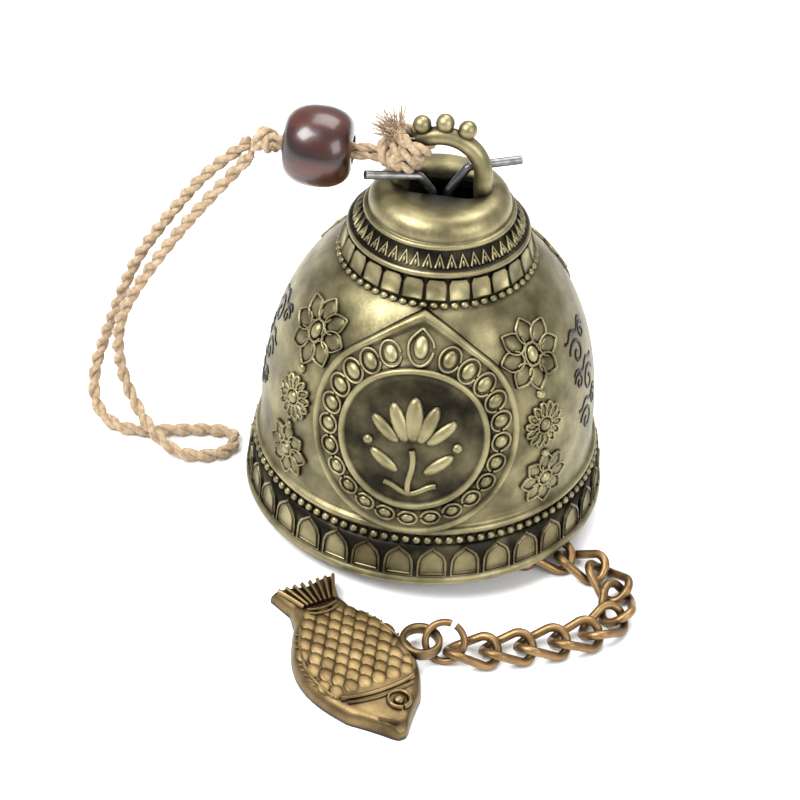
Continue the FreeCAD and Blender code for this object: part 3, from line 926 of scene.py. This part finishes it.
def fuzz(line, cord, count, seed):
    """Stray fibres standing off a cord."""
    source = random.Random(seed)
    bm = bmesh.new()
    centre = even_line(line, 0.5)
    for _ in range(count):
        i = source.randrange(1, len(centre) - 1)
        along = (centre[i + 1] - centre[i - 1]).normalized()
        side = along.orthogonal().normalized()
        side.rotate(Matrix.Rotation(source.uniform(0, 2 * math.pi), 3, along))
        start = centre[i] + side * cord * 0.36
        lean = along * source.uniform(-0.9, 0.9)
        reach = source.uniform(0.35, 1.0)
        middle = start + (side * 0.45 + lean * 0.5) * reach
        end = start + (side * 0.6 + lean * 1.2) * reach
        points = (start, middle, end)
        for p in points:
            p.z = max(p.z, 0.06)
        joined(bm, wire_mesh(points, 0.028, sides=0, ends=False))
    return bm


def ring_line(centre, axis, radius, count=28, slant=0.0):
    """Points round a circle, slanted along its axis to cross its neighbours."""
    axis = axis.normalized()
    side = axis.orthogonal().normalized()
    other = axis.cross(side)
    points = []
    for i in range(count):
        a = 2 * math.pi * i / count
        outward = side * math.cos(a) + other * math.sin(a)
        points.append(centre + outward * radius + axis * slant * math.sin(a))
    return points


def build_loop():
    line = route_line(LOOP_ROUTE)
    length = sum((b - a).length for a, b in zip(line, line[1:]))
    mm_line = [p / MM for p in line]
    bm = strands(mm_line, CORD)
    loop = piece("hand_loop_cord", bm, jute, "hand_loop")
    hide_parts("cord_loop")
    piece("hand_loop_fuzz", fuzz(mm_line, CORD, 1100, 7), jute, "hand_loop")
    return loop, line, length


def build_bead_and_knots():
    hitch = Vector(JOINTS["cord_turn_on_handle"]["pos_m"]) / MM
    bar = Vector(JOINTS["cord_turn_on_handle"]["axis"])
    knot = Vector(JOINTS["hand_loop_lift"]["pos_m"]) / MM
    bead = Vector(JOINTS["bead_spin"]["pos_m"]) / MM
    way = Vector(JOINTS["bead_spin"]["axis"]).normalized()

    wraps = bmesh.new()
    for i, along in enumerate((-1.75, 0.0, 1.75)):
        joined(wraps, strands(ring_line(hitch + bar * along, bar, 2.1, slant=0.3), 1.8, True, 4.0, i))
    lump = bead - way * 10.2
    tilted = (bar + way * 0.7).normalized()
    joined(wraps, strands(ring_line(lump + way * 0.3, tilted, 1.9, slant=0.6), 1.8, True, 4.0))
    low_turn = lump - way * 0.5 + Vector((0, -0.5, 0))
    joined(wraps, strands(ring_line(low_turn, way, 1.7, slant=0.4), 1.8, True, 4.0))
    joined(wraps, strands([hitch + Vector((-0.6, -2.1, 0.6)), hitch + Vector((-1.5, -2.0, -0.6)),
                           lump + Vector((-0.4, -1.6, 0.2)), lump + way * 2.4], 1.5))
    wraps_piece = piece("hitch_wraps", wraps, jute, "cord_end")
    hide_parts("cord_hitch")

    neck = bmesh.new()
    across = way.cross(Vector((0, 0, 1))).normalized()
    above = way.cross(across)
    for i in range(3):
        a = 2 * math.pi * i / 3 + 0.5
        shift = (across * math.cos(a) + above * math.sin(a)) * 0.62
        joined(neck, strands([lump + shift + way * 0.5, lump + shift + way * 6, lump + shift + way * 12,
                              knot + shift * 0.6], 1.35, turn=i))
    neck_piece = piece("neck_strands", neck, jute, "cord_end")
    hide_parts("cord_neck")

    tie = bmesh.new()
    for centre, axis, radius, slant in (
            (knot + way * 0.55, way + Vector((0, 0, 0.5)), 1.15, 0.35),
            (knot - way * 0.7, way - Vector((0, 0, 0.45)), 1.2, 0.35),
            (knot, above + across * 0.5, 1.0, 0.4)):
        joined(tie, strands(ring_line(centre, axis, radius, slant=slant), 1.6, True, 4.0))
    tie_piece = piece("knot_turns", tie, jute, "cord_end")
    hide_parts("cord_knot")

    source = random.Random(3)
    tuft = bmesh.new()
    root = lump + Vector((-0.3, 0, 1.0))
    for _ in range(170):
        spread = Vector((source.gauss(-0.35, 0.3), source.gauss(0, 0.3), 1.0)).normalized()
        foot = root + Vector((source.uniform(-0.7, 0.7), source.uniform(-0.7, 0.7), 0))
        reach = source.uniform(3.0, 5.4)
        middle = foot + Vector((0, 0, 1)) * reach * 0.45 + spread * reach * 0.1
        joined(tuft, wire_mesh([foot, middle, foot + spread * reach], source.uniform(0.06, 0.11), sides=0))
    tuft_piece = piece("frayed_tuft", tuft, jute, "cord_end")
    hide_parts("cord_tail_tuft")

    half = 4.55
    outline = [(1.7, -half + 0.35), (1.95, -half)]
    for i in range(33):
        t = -1 + 2 * i / 32
        outline.append((2.5 + 2.9 * (1 - abs(t) ** 2.3) ** 0.5, half * t))
    outline += [(1.95, half), (1.7, half - 0.35)]
    barrel = lathe(outline, 96, close=True)
    turn = Vector((0, 0, 1)).rotation_difference(way).to_matrix().to_4x4()
    place = Matrix.Translation(bead) @ turn
    barrel_piece = piece("bead_barrel", barrel, wood, "bead", place)
    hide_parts("wood_bead")
    return [wraps_piece, neck_piece, tie_piece, tuft_piece, barrel_piece]


# ---------------------------------------------------------------- materials on the plain metal parts

def dress_metal():
    for name, made in frame["nodes"].items():
        if name.startswith("chain_link") or name in ("jump_ring", "clapper_ball"):
            material = bronze
        elif name in ("hanger_wire", "clapper_rod"):
            material = steel
        else:
            continue
        target = made if isinstance(made, bpy.types.Object) else bpy.data.objects[name]
        target.data.materials.clear()
        target.data.materials.append(material)
        for face in target.data.polygons:
            face.use_smooth = False


# ---------------------------------------------------------------- stage

def build_stage():
    bm = bmesh.new()
    bmesh.ops.create_grid(bm, x_segments=1, y_segments=1, size=3.0)
    mesh = bpy.data.meshes.new("floor")
    bm.to_mesh(mesh)
    bm.free()
    floor = bpy.data.objects.new("floor", mesh)
    bpy.context.scene.collection.objects.link(floor)
    floor.data.materials.append(pale_floor())
    world = bpy.data.worlds.new("studio")
    world.use_nodes = True
    world.node_tree.nodes["Background"].inputs["Color"].default_value = (1, 1, 1, 1)
    world.node_tree.nodes["Background"].inputs["Strength"].default_value = 0.62
    bpy.context.scene.world = world
    for name, place, power, size in (("key", (-0.35, -0.25, 0.6), 7.0, 0.35),
                                     ("fill", (0.5, -0.4, 0.4), 3.0, 0.4),
                                     ("top", (0.05, 0.3, 0.7), 5.0, 0.5)):
        light = bpy.data.lights.new(name, "AREA")
        light.energy = power
        light.size = size
        lamp = bpy.data.objects.new(name, light)
        lamp.location = place
        lamp.rotation_euler = (Vector((0, 0, 0.02)) - Vector(place)).to_track_quat("-Z", "Y").to_euler()
        bpy.context.scene.collection.objects.link(lamp)
    bpy.context.scene.view_settings.view_transform = "Standard"


CAMERA_DISTANCE = 400


def build_camera():
    """Looks at the bell from its own front, 39 degrees up and a little to the right."""
    up_angle = math.radians(39.19)
    lean = math.radians(3.67)
    back = Vector((0, -math.cos(up_angle), math.sin(up_angle)))
    right = Vector((1, 0, 0))
    above = back.cross(right)
    rolled_right = right * math.cos(lean) + above * math.sin(lean)
    rolled_up = above * math.cos(lean) - right * math.sin(lean)
    turn = LEAN.to_3x3() @ Matrix.Rotation(math.radians(6.0), 3, "Z")
    axes = [turn @ v for v in (rolled_right, rolled_up, back)]
    place = LEAN.translation + axes[2] * CAMERA_DISTANCE
    camera = bpy.data.cameras.new("camera")
    camera.sensor_width = 36.0
    camera.lens = 127.152
    camera.shift_x = -0.029125
    camera.shift_y = 0.08525
    holder = bpy.data.objects.new("camera", camera)
    facing = Matrix((axes[0], axes[1], axes[2])).transposed().to_4x4()
    holder.matrix_world = Matrix.Translation(place * MM) @ facing
    bpy.context.scene.collection.objects.link(holder)
    bpy.context.scene.camera = holder


build_bell()
build_fish()
on_cord = build_bead_and_knots()
loop, line, length = build_loop()
dress_metal()
build_stage()
build_camera()
